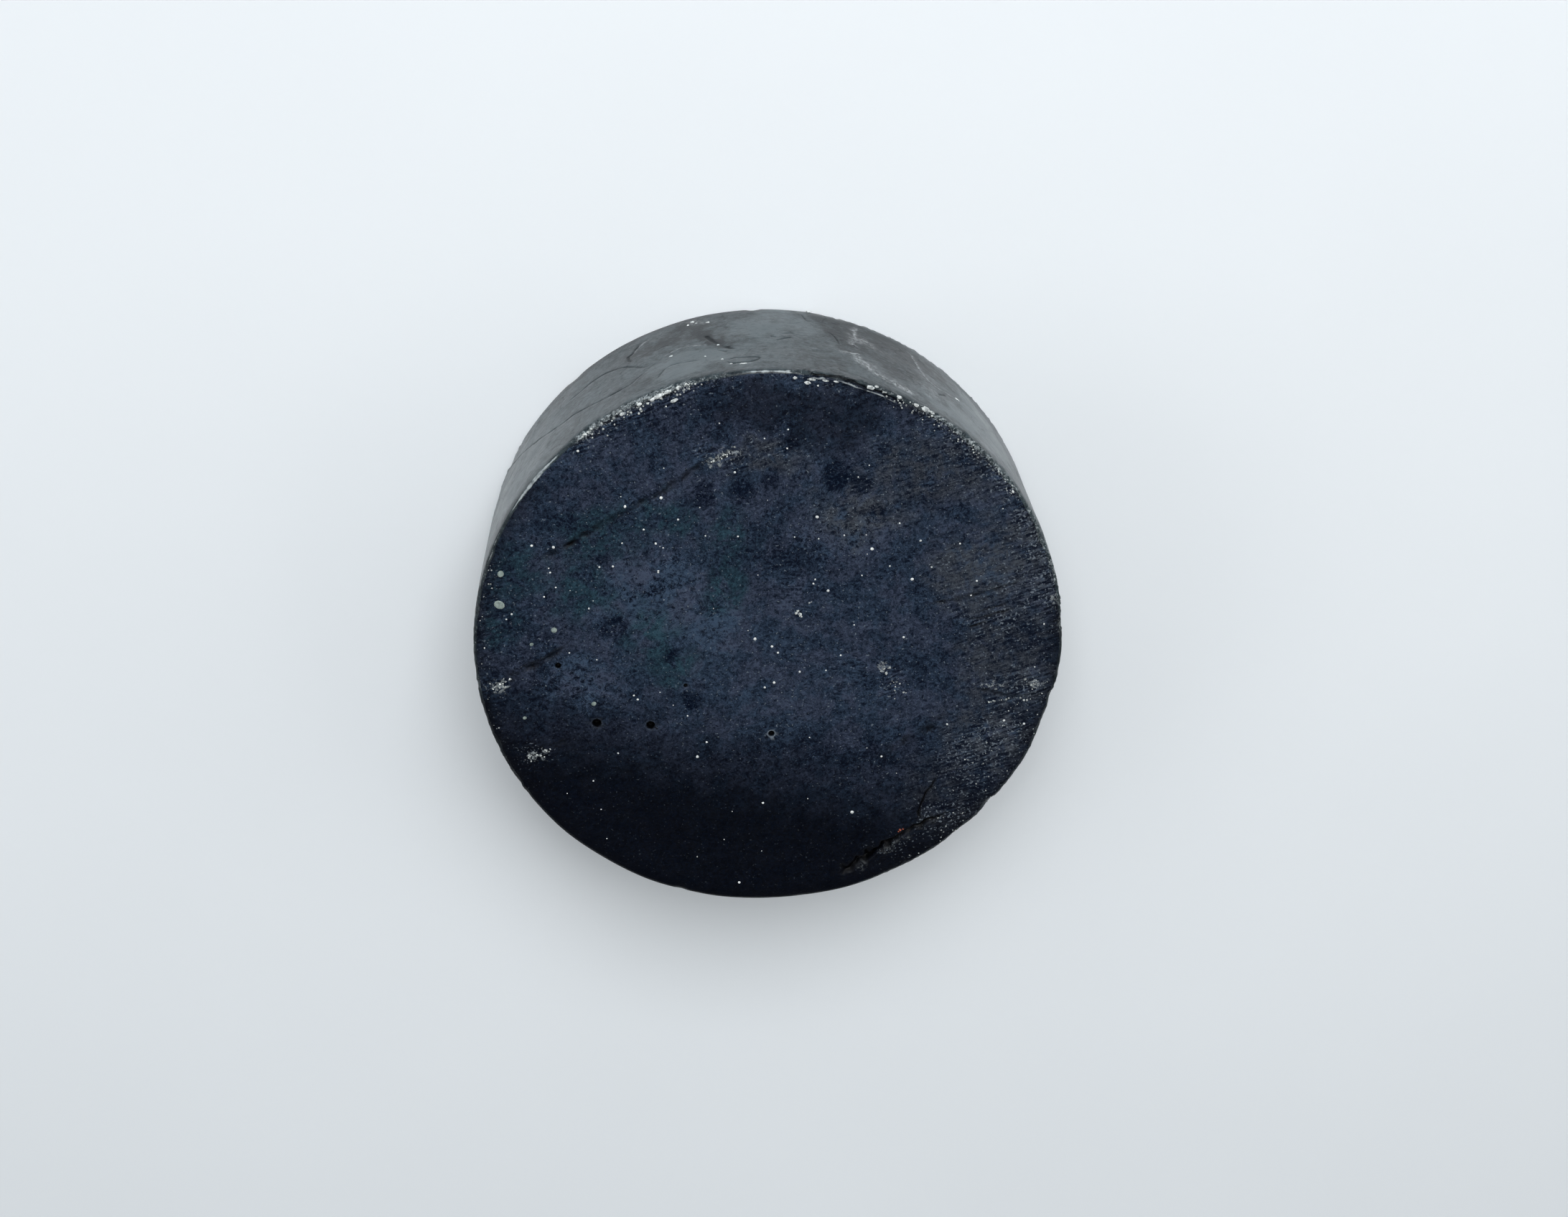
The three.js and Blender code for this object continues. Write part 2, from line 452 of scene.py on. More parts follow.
def face_relief(points, marks):
    """The height of a cut face above flat at points of x and y, and the masks that its material reads."""
    seed = marks["seed"]
    turn = marks["knife"]
    along = points @ heading(turn)
    across = points @ np.array([-math.sin(turn), math.cos(turn)])
    height = 0.06 * waves(points, 30, seed) + 0.022 * waves(points, 8, seed + 1)
    height += 0.006 * waves(np.stack([along / 12, across], 1), 0.9, seed + 2)

    groove = np.zeros(len(points))
    ridge = np.zeros(len(points))
    for line, width, depth in marks["drags"]:
        off, share = from_line(points, line)
        off = off + 0.25 * width * waves(points, 3, seed + 3)
        taper = smooth(share, 0, 0.15) * (1 - smooth(share, 0.8, 1))
        cut = taper * bell(off, width) * (0.7 + 0.3 * waves(points, 2.2, seed + 4)).clip(0)
        lip = taper * bell(off - 1.7 * width, width)
        height += depth * (0.3 * lip - cut)
        # The groove mask paints shade into the cut, darker the deeper it is.
        groove = np.maximum(groove, cut * min(0.7, depth / 0.3))
    for line, width, depth in marks["tears"]:
        off, share = from_line(points, line)
        off = off + 0.4 * width * waves(points, 1.6, seed + 5)
        taper = smooth(share, 0, 0.2) * (1 - smooth(share, 0.75, 1))
        cut = taper * bell(off, width)
        lip = taper * bell(off + 1.9 * width, 0.7 * width)
        height += depth * (0.12 * lip - cut)
        groove = np.maximum(groove, cut * min(1.3, depth / 0.12))
        ridge = np.maximum(ridge, lip * depth * smooth(waves(points, 3, seed + 15), -0.3, 1))

    pit = np.zeros(len(points))
    pit_lip = np.zeros(len(points))
    for x, y, radius, ring in marks["pinholes"]:
        off = np.hypot(points[:, 0] - x, points[:, 1] - y) / radius
        # The pit mask paints the open bubble near black, as painted shade.
        pit = np.maximum(pit, 1 - smooth(off, 0.86, 1.04))
        pit_lip = np.maximum(pit_lip, ring * bell(off - 1.2, 0.16))
        height -= 1.6 * radius * (1 - smooth(off, 0.5, 1.05))
    height += 0.03 * pit_lip

    warped = points + drift(points, 4, seed + 6, 0.7)
    warped += drift(points, 1.5, seed + 8, 0.22)
    stain = np.zeros(len(points))
    wobbly = points + drift(points, 2, seed + 13, 0.15)
    for x, y, radius in marks["stains"]:
        off = np.hypot(wobbly[:, 0] - x, wobbly[:, 1] - y) / radius
        stain = np.maximum(stain, 1 - smooth(off, 0.8, 1.08))
    height -= 0.03 * stain
    tone = np.zeros(len(points))
    for x, y, wide, tall, hazier in marks["tones"]:
        tone += hazier * patches(warped, [(x, y, wide, tall)], (0.2, 1.5))
    rough = points + drift(points, 0.9, seed + 10, 0.25)
    chalk = patches(rough, marks["chalk"], (0.6, 1.5))
    height += 0.05 * chalk * waves(points, 0.7, seed + 12)

    out = np.linalg.norm(points, axis=1)
    degrees = np.degrees(np.arctan2(points[:, 1], points[:, 0]))
    # Darkened rim stretches join the painted shade: painted shade along the lower-left edge, darkened by
    # rubbing elsewhere.
    rubbed_and_shaded = within(degrees, marks["rubbed_and_shaded"]) * bell(RADIUS - out, 2.4)
    # Painted shade: the face is painted darker towards the side that its shade direction points to, -Y on the
    # upper face.
    shade = smooth(warped @ np.array(marks["shade"]), 7, 26)
    return height, {
        "groove": np.clip(groove, 0, 1),
        "ridge": ridge,
        "pit": pit,
        "pit_lip": pit_lip,
        "stain": stain,
        "haze": tone,
        "chalk": chalk,
        "coarse": patches(warped, marks["coarse"], (0.4, 1.4)) * (1 - rubbed_and_shaded),
        "foam": patches(warped, marks["foam"], (0.4, 1.4)),
        "ripple": patches(warped, marks["ripples"]),
        "teal": patches(warped, marks["teal"]),
        "grey": patches(warped, marks["grey"]),
        "navy": patches(warped, marks["navy"]),
        "shade": np.maximum(shade, np.minimum(0.7 * rubbed_and_shaded, 1)),
    }


def wall_relief(points, solid):
    """The height of the wall above its cylinder at points of (millimetres round, z), and its masks. solid is
    the same points in x, y and z, where noise has no seam."""
    height = 0.05 * waves(solid, 24, 71) + 0.012 * waves(solid, 5, 72)
    setting = np.zeros(len(points))
    breaks = (0.75 + 0.3 * waves(solid, 3, 74)).clip(0, 1.1)
    for line, width, depth in WALL_LINES + HIDDEN_LINES:
        off, share = from_line(points, unrolled(line))
        off = off + 0.3 * width * waves(solid, 2.2, 73)
        cut = smooth(share, 0, 0.1) * (1 - smooth(share, 0.85, 1)) * bell(off, width) * breaks
        height -= depth * cut
        setting = np.maximum(setting, cut)
    scuff = np.zeros(len(points))
    tone = np.zeros(len(points))
    for line, width, paler in WALL_SCUFFS + HIDDEN_SCUFFS:
        off, share = from_line(points, unrolled(line))
        off = off + 0.5 * width * waves(solid, 1.5, 75)
        cover = bell(off, width) * smooth(share, -0.1, 0.1) * (1 - smooth(share, 0.8, 1.05))
        scuff = np.maximum(scuff, paler * cover)
        tone += min(paler, 0) * cover
    height += 0.03 * scuff
    warped = points + drift(solid, 5, 76, 0.9)
    for degrees, level, wide, tall, lighter in WALL_TONES + HIDDEN_TONES:
        centre = math.radians(degrees) * RADIUS
        place = (centre, level, math.radians(wide) * RADIUS, tall)
        tone += lighter * patches(warped, [place], (0.7, 1.2))
    return height, {"setting": setting, "scuff": scuff, "tone": tone}


def rim_relief(solid, degrees, from_rim, down_wall, marks):
    """How deep the rim is worn away at each point, how far a feather edge has lifted it, and the masks."""
    seed = marks["seed"] + 80
    crumbly = within(degrees, marks["crumbly"])
    near = bell(from_rim, 0.75)
    nicks = smooth(waves(solid, 5, seed), 0.9, 2.4)
    ragged = np.abs(waves(solid, 1.3, seed + 1)) + 0.8 * np.abs(waves(solid, 0.6, seed + 2))
    depth = near * (0.05 + 0.03 * waves(solid, 9, seed + 3) + 0.3 * nicks + 0.16 * crumbly * ragged)
    depth += 0.05 * crumbly * bell(from_rim, 2) * waves(solid, 0.7, seed + 4)
    for place, half, dent in marks["dents"]:
        off = (degrees - place + 180) % 360 - 180
        depth += dent * bell(off, half) * bell(from_rim, 1.6)
    from_wear = from_rim + 0.06 * waves(solid, 4, seed + 5)
    worn = within(degrees, marks["worn"]) * bell(from_wear, 0.2)
    lift = np.zeros(len(solid))
    crevice = np.zeros(len(solid))
    for line in marks["crevices"]:
        off, share = from_line(solid[:, :2], in_plan(line))
        off = off + 0.05 * waves(solid, 1.5, seed + 6)
        taper = smooth(share, 0, 0.15) * (1 - smooth(share, 0.85, 1))
        taper *= (0.8 + 0.3 * waves(solid, 3, seed + 7)).clip(0, 1)
        cut = taper * bell(off, 0.16)
        lip = taper * bell(off + 0.34, 0.16)
        lift += 0.16 * lip - 0.4 * cut
        crevice = np.maximum(crevice, cut)
        worn = np.maximum(worn, 0.9 * lip)
    return depth, lift, {
        "crumble": crumbly * bell(from_rim, 2.4),
        "edge": bell(from_rim + 1.5 * down_wall, 0.9) * crumbly,
        "rubbed_and_shaded_rim": within(degrees, marks["rubbed_and_shaded"]).clip(0, 1) * bell(from_rim, 1.6),
        "worn": worn,
        "crevice": crevice,
    }


# ---------------------------------------------------------------- the body's mesh


def add_object(name, data):
    made = bpy.data.objects.new(name, data)
    bpy.context.scene.collection.objects.link(made)
    return made


def disc_points(cells):
    """A square grid of points spread evenly over the unit disc, in rows from -Y to +Y."""
    step = np.linspace(-1, 1, cells + 1)
    a, b = np.meshgrid(step, step)
    wide = np.abs(a) > np.abs(b)
    reach = np.where(wide, a, b)
    safe = np.where(reach == 0, 1, reach)
    turn = np.where(wide, math.pi / 4 * b / safe, math.pi / 2 - math.pi / 4 * a / safe)
    return np.stack([reach * np.cos(turn), reach * np.sin(turn)], -1).reshape(-1, 2)


def edge_of_grid(cells):
    """The indices round the edge of that grid, from the corner at -45 degrees, anticlockwise from above."""
    side = cells + 1
    up = [row * side + cells for row in range(cells)]
    back = [cells * side + column for column in range(cells, 0, -1)]
    down = [row * side for row in range(cells, 0, -1)]
    forth = list(range(cells))
    return np.array(up + back + down + forth)


def grid_faces(cells, first, facing_up):
    """Quads of that grid, whose first vertex has the index given."""
    side = cells + 1
    corner = (np.arange(cells)[:, None] * side + np.arange(cells)[None, :]).ravel() + first
    quads = np.stack([corner, corner + 1, corner + 1 + side, corner + side], 1)
    return quads if facing_up else quads[:, ::-1]


def side_profile():
    """(radius, z) of each ring between the edges of the two cut faces: upper rim, wall, lower rim."""
    rows = []
    for step in range(1, RIM_ROWS + 1):
        turn = math.pi / 2 * (1 - step / RIM_ROWS)
        rows.append((RADIUS - RIM + RIM * math.cos(turn), THICKNESS - RIM + RIM * math.sin(turn)))
    for step in range(1, WALL_ROWS):
        rows.append((RADIUS, THICKNESS - RIM - (THICKNESS - 2 * RIM) * step / WALL_ROWS))
    for step in range(RIM_ROWS):
        turn = -math.pi / 2 * step / RIM_ROWS
        rows.append((RADIUS - RIM + RIM * math.cos(turn), RIM + RIM * math.sin(turn)))
    return rows


def plain_puck():
    """The puck before any mark, as vertices and quads."""
    around = 4 * FACE_CELLS
    flat = disc_points(FACE_CELLS) * (RADIUS - RIM)
    turns = -math.pi / 4 + 2 * math.pi * np.arange(around) / around
    rings = [
        np.column_stack([reach * np.cos(turns), reach * np.sin(turns), np.full(around, level)])
        for reach, level in side_profile()
    ]
    upper = np.column_stack([flat, np.full(len(flat), THICKNESS)])
    lower = np.column_stack([flat, np.zeros(len(flat))])
    points = np.concatenate([upper, *rings, lower])
    first_lower = len(points) - len(lower)

    loops = [edge_of_grid(FACE_CELLS)]
    loops += [len(upper) + row * around + np.arange(around) for row in range(len(rings))]
    loops += [edge_of_grid(FACE_CELLS) + first_lower]
    quads = [grid_faces(FACE_CELLS, 0, True)]
    for above, under in zip(loops, loops[1:]):
        quads.append(np.stack([above, under, np.roll(under, -1), np.roll(above, -1)], 1))
    quads.append(grid_faces(FACE_CELLS, first_lower, False))
    return points, np.concatenate(quads)


def near_bubbles(points):
    """Which points are in or beside an open bubble."""
    wanted = np.zeros(len(points), bool)
    for marks, level in ((UPPER_FACE, THICKNESS), (LOWER_FACE, 0)):
        here = np.abs(points[:, 2] - level) < 0.01
        for x, y, radius, _ in marks["pinholes"]:
            wanted |= here & (np.hypot(points[:, 0] - x, points[:, 1] - y) < 1.4 * radius + 0.15)
    return wanted


def near_marks(points):
    """Which points are close enough to a fine mark to need small cells."""
    flat = points[:, :2]
    out = np.linalg.norm(flat, axis=1)
    degrees = np.degrees(np.arctan2(flat[:, 1], flat[:, 0])) % 360
    wanted = near_bubbles(points)
    for marks, level in ((UPPER_FACE, THICKNESS), (LOWER_FACE, 0)):
        here = np.abs(points[:, 2] - level) < RIM + 0.01
        for line, width, _ in marks["drags"] + marks["tears"]:
            wanted |= here & (np.abs(from_line(flat, line)[0]) < 2 * width + 0.3)
        wanted |= here & (patches(flat, marks["chalk"], (1.4, 1.6)) > 0.5)
        for line in marks["crevices"]:
            wanted |= here & (np.abs(from_line(flat, in_plan(line))[0]) < 0.8)
    upper = points[:, 2] > THICKNESS - RIM - 0.3
    wanted |= upper & (out > RADIUS - 1.6) & (within(degrees, CRUMBLY_RIM) > 0.45) & (degrees < 135)
    on_wall = out > RADIUS - 0.05
    round_wall = np.radians(degrees) * RADIUS
    wall = np.column_stack([round_wall, points[:, 2]])
    for line, width, _ in WALL_LINES + WALL_SCUFFS:
        if width < 0.6:
            wanted |= on_wall & (np.abs(from_line(wall, unrolled(line))[0]) < 2 * width + 0.25)
    return wanted


def refined(points, faces):
    """The mesh with the cells round its marks split in four, several times over."""
    mesh = bpy.data.meshes.new("plain_puck")
    mesh.from_pydata(points.tolist(), [], faces.tolist())
    shape = bmesh.new()
    shape.from_mesh(mesh)
    for turn in range(REFINEMENTS):
        near = near_marks if turn < REFINEMENTS - 1 else near_bubbles
        edges = list(shape.edges)
        middles = np.array([(edge.verts[0].co + edge.verts[1].co) / 2 for edge in edges])
        chosen = [edges[index] for index in np.flatnonzero(near(middles))]
        bmesh.ops.subdivide_edges(shape, edges=chosen, cuts=1, use_grid_fill=True)
    shape.to_mesh(mesh)
    shape.free()
    return mesh


def marked_surface(points):
    """The points of the plain puck moved onto its worn surface, and the masks that the material reads."""
    flat = points[:, :2]
    out = np.linalg.norm(flat, axis=1)
    radial = flat / np.maximum(out, 1e-6)[:, None]
    core_reach = np.minimum(out, RADIUS - RIM)[:, None]
    core = np.column_stack([radial * core_reach, points[:, 2].clip(RIM, THICKNESS - RIM)])
    normal = points - core
    normal /= np.linalg.norm(normal, axis=1, keepdims=True)
    plain = core + RIM * normal
    tilt = np.arcsin(normal[:, 2].clip(-1, 1))
    flatness = np.abs(tilt) > math.pi / 2 - 1e-3
    on_face = np.where(flatness, RADIUS - RIM - out, 0).clip(0)
    on_wall = np.minimum(points[:, 2] - RIM, THICKNESS - RIM - points[:, 2]).clip(0)
    from_rim = on_face + on_wall + RIM * np.abs(np.abs(tilt) - math.pi / 4)
    degrees = np.degrees(np.arctan2(flat[:, 1], flat[:, 0])) % 360

    masks = {}

    def write(where, found):
        for name, values in found.items():
            masks.setdefault(name, np.zeros(len(points)))[where] = values

    height = np.zeros(len(points))
    shift = np.zeros(points.shape)
    is_upper = points[:, 2] > THICKNESS / 2
    inner = smooth(on_face, 0, 2.5)
    for marks, where, up in ((UPPER_FACE, is_upper, 1.0), (LOWER_FACE, ~is_upper, -1.0)):
        relief, found = face_relief(flat[where], marks)
        write(where, found)
        depth, lift, found = rim_relief(plain[where], degrees[where], from_rim[where], on_wall[where], marks)
        write(where, found)
        height[where] += relief * inner[where]
        corner = (np.column_stack([radial[where], np.full(where.sum(), up)])) / math.sqrt(2)
        shift[where] -= corner * depth[:, None]
        shift[where, 2] += up * lift * (np.abs(tilt[where]) > 0.1)

    round_wall = np.column_stack([np.radians(degrees) * RADIUS, points[:, 2]])
    ahead = np.column_stack([np.radians(degrees + 360) * RADIUS, points[:, 2]])
    walled = np.abs(tilt) < 0.9
    relief, found = wall_relief(round_wall[walled], plain[walled])
    relief_ahead, found_ahead = wall_relief(ahead[walled], plain[walled])
    write(walled, {name: np.where(degrees[walled] < 30, found_ahead[name], found[name]) for name in found})
    height[walled] += np.where(degrees[walled] < 30, relief_ahead, relief) * smooth(on_wall[walled], 0, 1.5)
    masks["wall"] = smooth(np.cos(tilt), 0.02, 0.4)
    moved = plain + shift + normal * height[:, None]
    moved[:, 2] = moved[:, 2].clip(0)
    middle, half, far = SWELLING
    moved[:, :2] *= 1 + far / RADIUS * bell(degrees - middle, half)[:, None]
    return moved, masks


def soap_body(material):
    mesh = refined(*plain_puck())
    points = np.empty(3 * len(mesh.vertices))
    mesh.vertices.foreach_get("co", points)
    moved, masks = marked_surface(points.reshape(-1, 3).astype(float))
    mesh.vertices.foreach_set("co", (moved * MM).ravel())
    mesh.polygons.foreach_set("use_smooth", [True] * len(mesh.polygons))
    for name, values in masks.items():
        layer = mesh.attributes.new(name, "FLOAT", "POINT")
        layer.data.foreach_set("value", values.astype(np.float32))
    mesh.materials.append(material)
    mesh.update()
    return add_object("soap_body", mesh)


# ---------------------------------------------------------------- crumbs, flakes and specks


def ball(detail):
    """Vertices and triangles of a unit ball."""
    shape = bmesh.new()
    bmesh.ops.create_icosphere(shape, subdivisions=detail, radius=1)
    shape.verts.ensure_lookup_table()
    points = np.array([vertex.co for vertex in shape.verts])
    faces = np.array([[vertex.index for vertex in face.verts] for face in shape.faces])
    shape.free()
    return points, faces


def lumps(name, lumps_wanted, raggedness, detail, material, seed, smooth_shaded):
    """One object of many small lumps. Each is given as its place, outward normal, and length, width and
    height. Its length lies round the puck, or anywhere when the length and width are equal."""
    rng = np.random.default_rng(seed)
    template, triangles = ball(detail)
    points = []
    faces = []
    for place, normal, size in lumps_wanted:
        normal = np.asarray(normal, float)
        ahead = np.cross([0, 0, 1.0], [*place[:2], 0])
        ahead /= np.linalg.norm(ahead)
        beside = np.cross(normal, ahead)
        if size[0] == size[1]:
            turn = rng.uniform(0, 2 * math.pi)
            ahead = ahead * math.cos(turn) + beside * math.sin(turn)
            beside = np.cross(normal, ahead)
        rough = template * (1 + raggedness * rng.uniform(-1, 1, (len(template), 1)))
        shape = rough * np.array(size) * rng.uniform(0.85, 1.15, 3) / 2
        faces.append(triangles + len(points) * len(template))
        points.append(shape @ np.array([ahead, beside, normal]) + place)
    points = np.concatenate(points)
    mesh = bpy.data.meshes.new(name)
    mesh.from_pydata((points * MM).tolist(), [], np.concatenate(faces).tolist())
    mesh.polygons.foreach_set("use_smooth", [smooth_shaded] * len(mesh.polygons))
    mesh.materials.append(material)
    return add_object(name, mesh)


def on_upper_face(spots):
    """Points of x and y as points on the uneven upper face."""
    height = face_relief(spots, UPPER_FACE)[0]
    room = RADIUS - RIM - np.linalg.norm(spots, axis=1)
    return np.column_stack([spots, THICKNESS + height * smooth(room, 0, 2.5)])


UP = (0, 0, 1)


def crumbs(material):
    rng = np.random.default_rng(3)
    wanted = []
    for start, end, spread, count, size in UPPER_CRUMBS:
        share = rng.uniform(0, 1, (count, 1))
        along = np.array(start) + (np.array(end) - np.array(start)) * share
        spots = along + rng.normal(size=(count, 2)) * spread
        spots = spots[np.linalg.norm(spots, axis=1) < RADIUS - 0.7]
        for place in on_upper_face(spots):
            across = size * rng.uniform(0.4, 1.4)
            wanted.append((place, UP, (across, across, across * 0.6)))
    for start, end, count, size in RIM_CRUMBS:
        for degrees in rng.uniform(start, end, count):
            inward = abs(rng.normal()) * 0.6
            across = size * rng.uniform(0.4, 1.5)
            place = (RADIUS - 0.3 - inward) * towards(degrees)
            place[2] = THICKNESS - max(0, 0.22 - 0.45 * inward)
            wanted.append((place, UP, (across, across, across * 0.7)))
    return lumps("soap_crumbs", wanted, 0.3, 1, material, 4, False)


def flakes(material):
    wanted = []
    for degrees, reach, length, width in RIM_FLAKES:
        place = reach * towards(degrees)
        place[2] = THICKNESS - max(0, reach - RADIUS + 0.7) * 0.4
        wanted.append((place, UP, (length, width, width * 0.6)))
    for degrees, level, length, width in WALL_FLAKES:
        out = towards(degrees)
        place = out * RADIUS + np.array([0, 0, level])
        relief = wall_relief(np.array([(math.radians(degrees) * RADIUS, level)]), place[None])[0][0]
        wanted.append((place + out * relief, out, (length, width, 0.2)))
    return lumps("soap_flakes", wanted, 0.22, 2, material, 14, False)


def round_lumps(places, sizes, flatness):
    """Round lumps of those sizes on the upper face, for the lumps function."""
    return [(place, UP, (size, size, size * flatness)) for place, size in zip(places, sizes)]


def white_specks(material):
    rng = np.random.default_rng(8)
    turn = rng.uniform(0, 2 * math.pi, SCATTERED_SPECKS)
    reach = (RADIUS - 2) * np.sqrt(rng.uniform(0, 1, SCATTERED_SPECKS))
    spots = np.column_stack([reach * np.cos(turn), reach * np.sin(turn)])
    hand = np.array(BRIGHT_SPECKS)
    sizes = np.concatenate([hand[:, 2] * 0.75, rng.uniform(0.12, 0.24, SCATTERED_SPECKS)])
    places = on_upper_face(np.concatenate([hand[:, :2], spots]))
    return lumps("white_specks", round_lumps(places, sizes, 0.5), 0.08, 2, material, 9, True)


def pale_discs(material):
    discs = np.array(PALE_DISCS)
    wanted = round_lumps(on_upper_face(discs[:, :2]), discs[:, 2], 0.14)
    return lumps("pale_discs", wanted, 0.05, 3, material, 10, True)


def orange_fleck(material):
    places = on_upper_face(np.array([(18.1, -27.1), (18.5, -27.0), (17.9, -27.4)]))
    wanted = round_lumps(places, (0.42, 0.26, 0.2), 0.5)
    return lumps("orange_fleck", wanted, 0.3, 1, material, 12, False)


# ---------------------------------------------------------------- shader helpers


def add_node(tree, kind, inputs=(), **settings):
    """A new node. Each input is a number, a colour or another node's output."""
    made = tree.nodes.new(kind)
    for name, value in settings.items():
        setattr(made, name, value)
    for key, value in dict(inputs).items():
        if isinstance(value, bpy.types.NodeSocket):
            tree.links.new(value, made.inputs[key])
        else:
            made.inputs[key].default_value = value
    return made


class Shader:
    """Adds nodes to a material. A helper takes numbers, colours or the outputs of other nodes."""

    def __init__(self, name):
        self.material = bpy.data.materials.new(name)
        self.material.use_nodes = True
        self.tree = self.material.node_tree
        self.tree.nodes.clear()
        coordinates = self.node("ShaderNodeTexCoord").outputs["Object"]
        self.place = self.vector("SCALE", coordinates, scale=1 / MM)  # millimetres

    def node(self, kind, inputs=(), **settings):
        return add_node(self.tree, kind, inputs, **settings)

    def math(self, operation, a, b=0.0, clamp=False):
        return self.node("ShaderNodeMath", {0: a, 1: b}, operation=operation, use_clamp=clamp).outputs[0]

    def add(self, *values):
        return reduce(lambda total, value: self.math("ADD", total, value), values)

    def times(self, *values):
        return reduce(lambda total, value: self.math("MULTIPLY", total, value), values)

    def most(self, *values):
        return reduce(lambda total, value: self.math("MAXIMUM", total, value), values)

    def rest(self, share):
        """What is left of 1."""
        return self.math("SUBTRACT", 1.0, share)

    def vector(self, operation, a, b=None, scale=None):
        inputs = {0: a}
        if b is not None:
            inputs[1] = b
        if scale is not None:
            inputs["Scale"] = scale
        return self.node("ShaderNodeVectorMath", inputs, operation=operation).outputs[0]

    def turned(self, angle, stretch):
        """The place, turned by an angle and then scaled, so that noise is stretched along its own X axis."""
        inputs = {"Vector": self.place, "Angle": -angle}
        turned = self.node("ShaderNodeVectorRotate", inputs, rotation_type="Z_AXIS").outputs[0]
        return self.vector("MULTIPLY", turned, stretch)

    def noise(self, size, detail=3.0, roughness=0.55, place=None, distortion=0.0):
        """Noise of 0 to 1 with features of that size in millimetres."""
        place = self.place if place is None else place
        look = {"Detail": detail, "Roughness": roughness, "Distortion": distortion}
        return self.node("ShaderNodeTexNoise", {"Vector": place, "Scale": 1 / size, **look}).outputs["Fac"]

    def cells(self, size, drift):
        """How far each place, moved by drift, is from the middle of its cell, among cells of that size."""
        inputs = {"Vector": self.vector("ADD", self.place, drift), "Scale": 1 / size, "Randomness": 1.0}
        return self.node("ShaderNodeTexVoronoi", inputs).outputs["Distance"]

    def step(self, value, start, end):
        """0 before start and 1 after end, softly."""
        inputs = {"Value": value, "From Min": start, "From Max": end}
        return self.node("ShaderNodeMapRange", inputs, interpolation_type="SMOOTHSTEP").outputs["Result"]

    def scale_to(self, value, start, end, first, last):
        inputs = {"Value": value, "From Min": start, "From Max": end, "To Min": first, "To Max": last}
        return self.node("ShaderNodeMapRange", inputs).outputs["Result"]

    def between(self, share, first, last):
        """From first to last as the share goes from 0 to 1."""
        return self.scale_to(share, 0.0, 1.0, first, last)

    def around(self, value, much):
        """Noise as a number between -much and much, with more contrast."""
        return self.scale_to(value, 0.33, 0.67, -much, much)

    def mask(self, name):
        return self.node("ShaderNodeAttribute", attribute_name=name).outputs["Fac"]

    def mix(self, share, a, b):
        """A colour between two."""
        a, b = (value if isinstance(value, bpy.types.NodeSocket) else (*value, 1) for value in (a, b))
        return self.node("ShaderNodeMix", {"Factor": share, 6: a, 7: b}, data_type="RGBA").outputs[2]

    def blend(self, share, a, b):
        """A number between two."""
        return self.node("ShaderNodeMix", {"Factor": share, 2: a, 3: b}, data_type="FLOAT").outputs[0]

    def finish(self, colour, roughness, height=None, coat=0.0, **settings):
        """The surface, with height in millimetres as bump."""
        inputs = {"Base Color": colour, "Roughness": roughness, "Coat Weight": coat, **settings}
        if height is not None:
            bump = {"Height": height, "Distance": MM, "Strength": 1.0}
            inputs["Normal"] = self.node("ShaderNodeBump", bump).outputs["Normal"]
        surface = self.node("ShaderNodeBsdfPrincipled", inputs)
        self.node("ShaderNodeOutputMaterial", {"Surface": surface.outputs[0]})
        return self.material


# ---------------------------------------------------------------- materials

DEEP = (0.0010, 0.0032, 0.0100)
SLATE = (0.037, 0.060, 0.098)
PLUM = (0.045, 0.059, 0.094)
TEAL = (0.024, 0.056, 0.078)
GREY = (0.050, 0.058, 0.071)
# The darkest soap colour, used only for painted shade and for the darkened rim stretches.
NIGHT = (0.0003, 0.0008, 0.0028)
FLECK = (0.16, 0.19, 0.22)
CHALK = (0.40, 0.44, 0.45)
OLD_WALL = (0.003, 0.006, 0.009)
FILM = (0.038, 0.057, 0.065)
SCUFF = (0.42, 0.44, 0.45)


